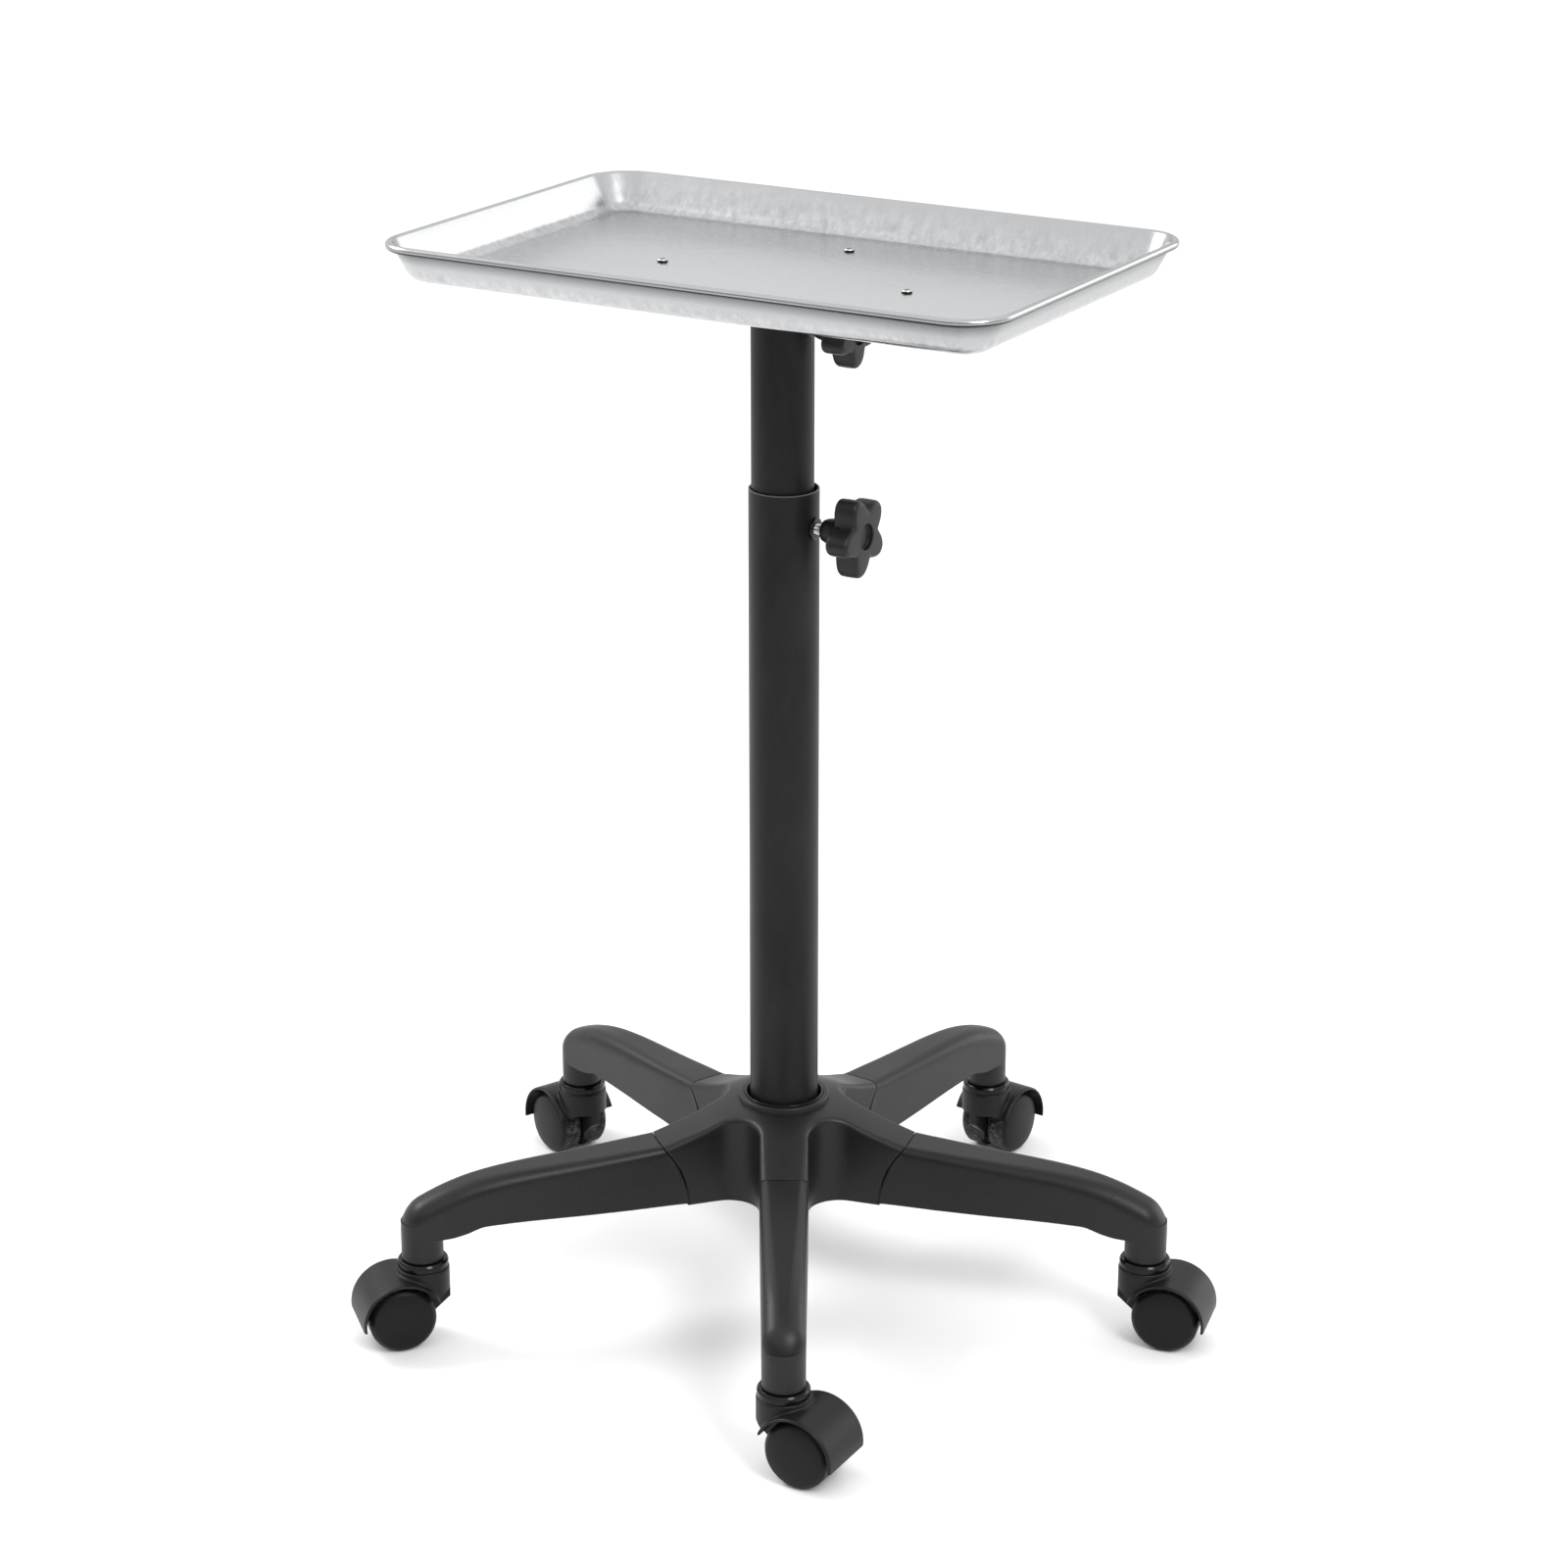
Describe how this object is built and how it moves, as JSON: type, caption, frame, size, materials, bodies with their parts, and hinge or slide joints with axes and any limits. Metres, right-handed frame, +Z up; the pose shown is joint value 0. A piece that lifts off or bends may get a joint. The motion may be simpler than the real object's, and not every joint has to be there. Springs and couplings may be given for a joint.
{
  "type": "instrument cart",
  "caption": "Height-adjustable instrument cart: a shallow oblong metal tray on a telescopic round post, standing on a moulded five-arm base with swivel castors.",
  "frame": {"origin": "on the floor, at the middle of the cart's footprint as its castors stand at rest; the post's axis stands at x -8 mm, y -31 mm", "axes": "+Z up; X along the tray's long side, with the star knobs towards +X; the tray's front edge towards -Y"},
  "size_m": [0.6406, 0.5988, 0.8068],
  "materials": {
    "tray_metal": "fine matt-polished sheet metal, pressed, with a rolled rim",
    "bracket_paint": "black powder coat",
    "post_paint": "black powder coat, satin",
    "base_nylon": "moulded black nylon with a fine grain",
    "castor_nylon": "moulded black nylon",
    "wheel_nylon": "moulded black nylon, hard tread",
    "knob_nylon": "moulded black nylon with a satin grain",
    "gloss_ring": "smooth black plastic",
    "zinc_hardware": "bright zinc-plated steel",
    "dark_hardware": "dark plated steel"
  },
  "bodies": {
    "base": {"hub": "base_nylon", "hub_ring": "gloss_ring", "outer_tube": "post_paint", "height_rivet_nut": "dark_hardware", "post_plug": "dark_hardware", "post_bolt": "zinc_hardware", "arm_1": "base_nylon", "arm_2": "base_nylon", "arm_3": "base_nylon", "arm_4": "base_nylon", "arm_5": "base_nylon", "arm_screw_1": "zinc_hardware", "arm_screw_2": "zinc_hardware", "arm_screw_3": "zinc_hardware", "arm_screw_4": "zinc_hardware", "arm_screw_5": "zinc_hardware"},
    "post": {"inner_tube": "post_paint", "inner_tube_glide": "base_nylon", "tray_rivet_nut": "dark_hardware"},
    "tray_top": {"tray": "tray_metal", "tray_bracket": "bracket_paint", "bracket_tube": "bracket_paint", "tray_screw_1": "zinc_hardware", "tray_screw_2": "zinc_hardware", "tray_screw_3": "zinc_hardware", "tray_screw_4": "zinc_hardware"},
    "height_screw": {"height_clamp_screw": "zinc_hardware"},
    "height_knob": {"height_knob": "knob_nylon"},
    "tray_screw": {"tray_clamp_screw": "zinc_hardware"},
    "tray_knob": {"tray_knob": "knob_nylon"},
    "castor_1": {"castor_stem_1": "zinc_hardware", "castor_collar_1": "gloss_ring", "castor_body_1": "castor_nylon", "castor_axle_1": "zinc_hardware"},
    "wheel_left_1": {"castor_wheel_left_1": "wheel_nylon"},
    "wheel_right_1": {"castor_wheel_right_1": "wheel_nylon"},
    "castor_2": {"castor_stem_2": "zinc_hardware", "castor_collar_2": "gloss_ring", "castor_body_2": "castor_nylon", "castor_axle_2": "zinc_hardware"},
    "wheel_left_2": {"castor_wheel_left_2": "wheel_nylon"},
    "wheel_right_2": {"castor_wheel_right_2": "wheel_nylon"},
    "castor_3": {"castor_stem_3": "zinc_hardware", "castor_collar_3": "gloss_ring", "castor_body_3": "castor_nylon", "castor_axle_3": "zinc_hardware"},
    "wheel_left_3": {"castor_wheel_left_3": "wheel_nylon"},
    "wheel_right_3": {"castor_wheel_right_3": "wheel_nylon"},
    "castor_4": {"castor_stem_4": "zinc_hardware", "castor_collar_4": "gloss_ring", "castor_body_4": "castor_nylon", "castor_axle_4": "zinc_hardware"},
    "wheel_left_4": {"castor_wheel_left_4": "wheel_nylon"},
    "wheel_right_4": {"castor_wheel_right_4": "wheel_nylon"},
    "castor_5": {"castor_stem_5": "zinc_hardware", "castor_collar_5": "gloss_ring", "castor_body_5": "castor_nylon", "castor_axle_5": "zinc_hardware"},
    "wheel_left_5": {"castor_wheel_left_5": "wheel_nylon"},
    "wheel_right_5": {"castor_wheel_right_5": "wheel_nylon"}
  },
  "joints": [
    {"name": "post_lift", "type": "slide", "parent": "base", "child": "post", "axis": [0, 0, 1], "range_m": [-0.07, 0.22]},
    {"name": "tray_swivel", "type": "hinge", "parent": "post", "child": "tray_top", "pos_m": [-0.0091, -0.031, 0.74], "axis": [0, 0, 1], "continuous": true},
    {"name": "height_screw_travel", "type": "slide", "parent": "base", "child": "height_screw", "axis": [1, 0, 0], "range_m": [0, 0.0026]},
    {"name": "height_knob_turn", "type": "hinge", "parent": "height_screw", "child": "height_knob", "pos_m": [-0.008, -0.031, 0.602], "axis": [1, 0, 0], "range_deg": [0, 720]},
    {"name": "tray_screw_travel", "type": "slide", "parent": "post", "child": "tray_screw", "axis": [1, 0, 0], "range_m": [0, 0.0026]},
    {"name": "tray_knob_turn", "type": "hinge", "parent": "tray_screw", "child": "tray_knob", "pos_m": [-0.0091, -0.031, 0.7485], "axis": [1, 0, 0], "range_deg": [0, 720]},
    {"name": "castor_1_swivel", "type": "hinge", "parent": "base", "child": "castor_1", "pos_m": [0.132, -0.27349, 0.06], "axis": [0, 0, 1], "continuous": true},
    {"name": "wheel_left_1_roll", "type": "hinge", "parent": "castor_1", "child": "wheel_left_1", "pos_m": [0.152, -0.27349, 0.025], "axis": [0, 1, 0], "continuous": true},
    {"name": "wheel_right_1_roll", "type": "hinge", "parent": "castor_1", "child": "wheel_right_1", "pos_m": [0.152, -0.27349, 0.025], "axis": [0, 1, 0], "continuous": true},
    {"name": "castor_2_swivel", "type": "hinge", "parent": "base", "child": "castor_2", "pos_m": [0.26588, 0.02721, 0.06], "axis": [0, 0, 1], "continuous": true},
    {"name": "wheel_left_2_roll", "type": "hinge", "parent": "castor_2", "child": "wheel_left_2", "pos_m": [0.28544, 0.03137, 0.025], "axis": [-0.2079, 0.9781, 0], "continuous": true},
    {"name": "wheel_right_2_roll", "type": "hinge", "parent": "castor_2", "child": "wheel_right_2", "pos_m": [0.28544, 0.03137, 0.025], "axis": [-0.2079, 0.9781, 0], "continuous": true},
    {"name": "castor_3_swivel", "type": "hinge", "parent": "base", "child": "castor_3", "pos_m": [0.02127, 0.24747, 0.06], "axis": [0, 0, 1], "continuous": true},
    {"name": "wheel_left_3_roll", "type": "hinge", "parent": "castor_3", "child": "wheel_left_3", "pos_m": [0.02336, 0.26736, 0.025], "axis": [-0.9945, 0.1045, 0], "continuous": true},
    {"name": "wheel_right_3_roll", "type": "hinge", "parent": "castor_3", "child": "wheel_right_3", "pos_m": [0.02336, 0.26736, 0.025], "axis": [-0.9945, 0.1045, 0], "continuous": true},
    {"name": "castor_4_swivel", "type": "hinge", "parent": "base", "child": "castor_4", "pos_m": [-0.26379, 0.08289, 0.06], "axis": [0, 0, 1], "continuous": true},
    {"name": "wheel_left_4_roll", "type": "hinge", "parent": "castor_4", "child": "wheel_left_4", "pos_m": [-0.28206, 0.09102, 0.025], "axis": [-0.4067, -0.9135, 0], "continuous": true},
    {"name": "wheel_right_4_roll", "type": "hinge", "parent": "castor_4", "child": "wheel_right_4", "pos_m": [-0.28206, 0.09102, 0.025], "axis": [-0.4067, -0.9135, 0], "continuous": true},
    {"name": "castor_5_swivel", "type": "hinge", "parent": "base", "child": "castor_5", "pos_m": [-0.19536, -0.23908, 0.06], "axis": [0, 0, 1], "continuous": true},
    {"name": "wheel_left_5_roll", "type": "hinge", "parent": "castor_5", "child": "wheel_left_5", "pos_m": [-0.20874, -0.25394, 0.025], "axis": [0.7431, -0.6691, 0], "continuous": true},
    {"name": "wheel_right_5_roll", "type": "hinge", "parent": "castor_5", "child": "wheel_right_5", "pos_m": [-0.20874, -0.25394, 0.025], "axis": [0.7431, -0.6691, 0], "continuous": true}
  ],
  "couplings": [
    {"joint": "height_screw_travel", "follows": "height_knob_turn", "m_per_rad": 0.00019894},
    {"joint": "tray_screw_travel", "follows": "tray_knob_turn", "m_per_rad": 0.00019894}
  ]
}
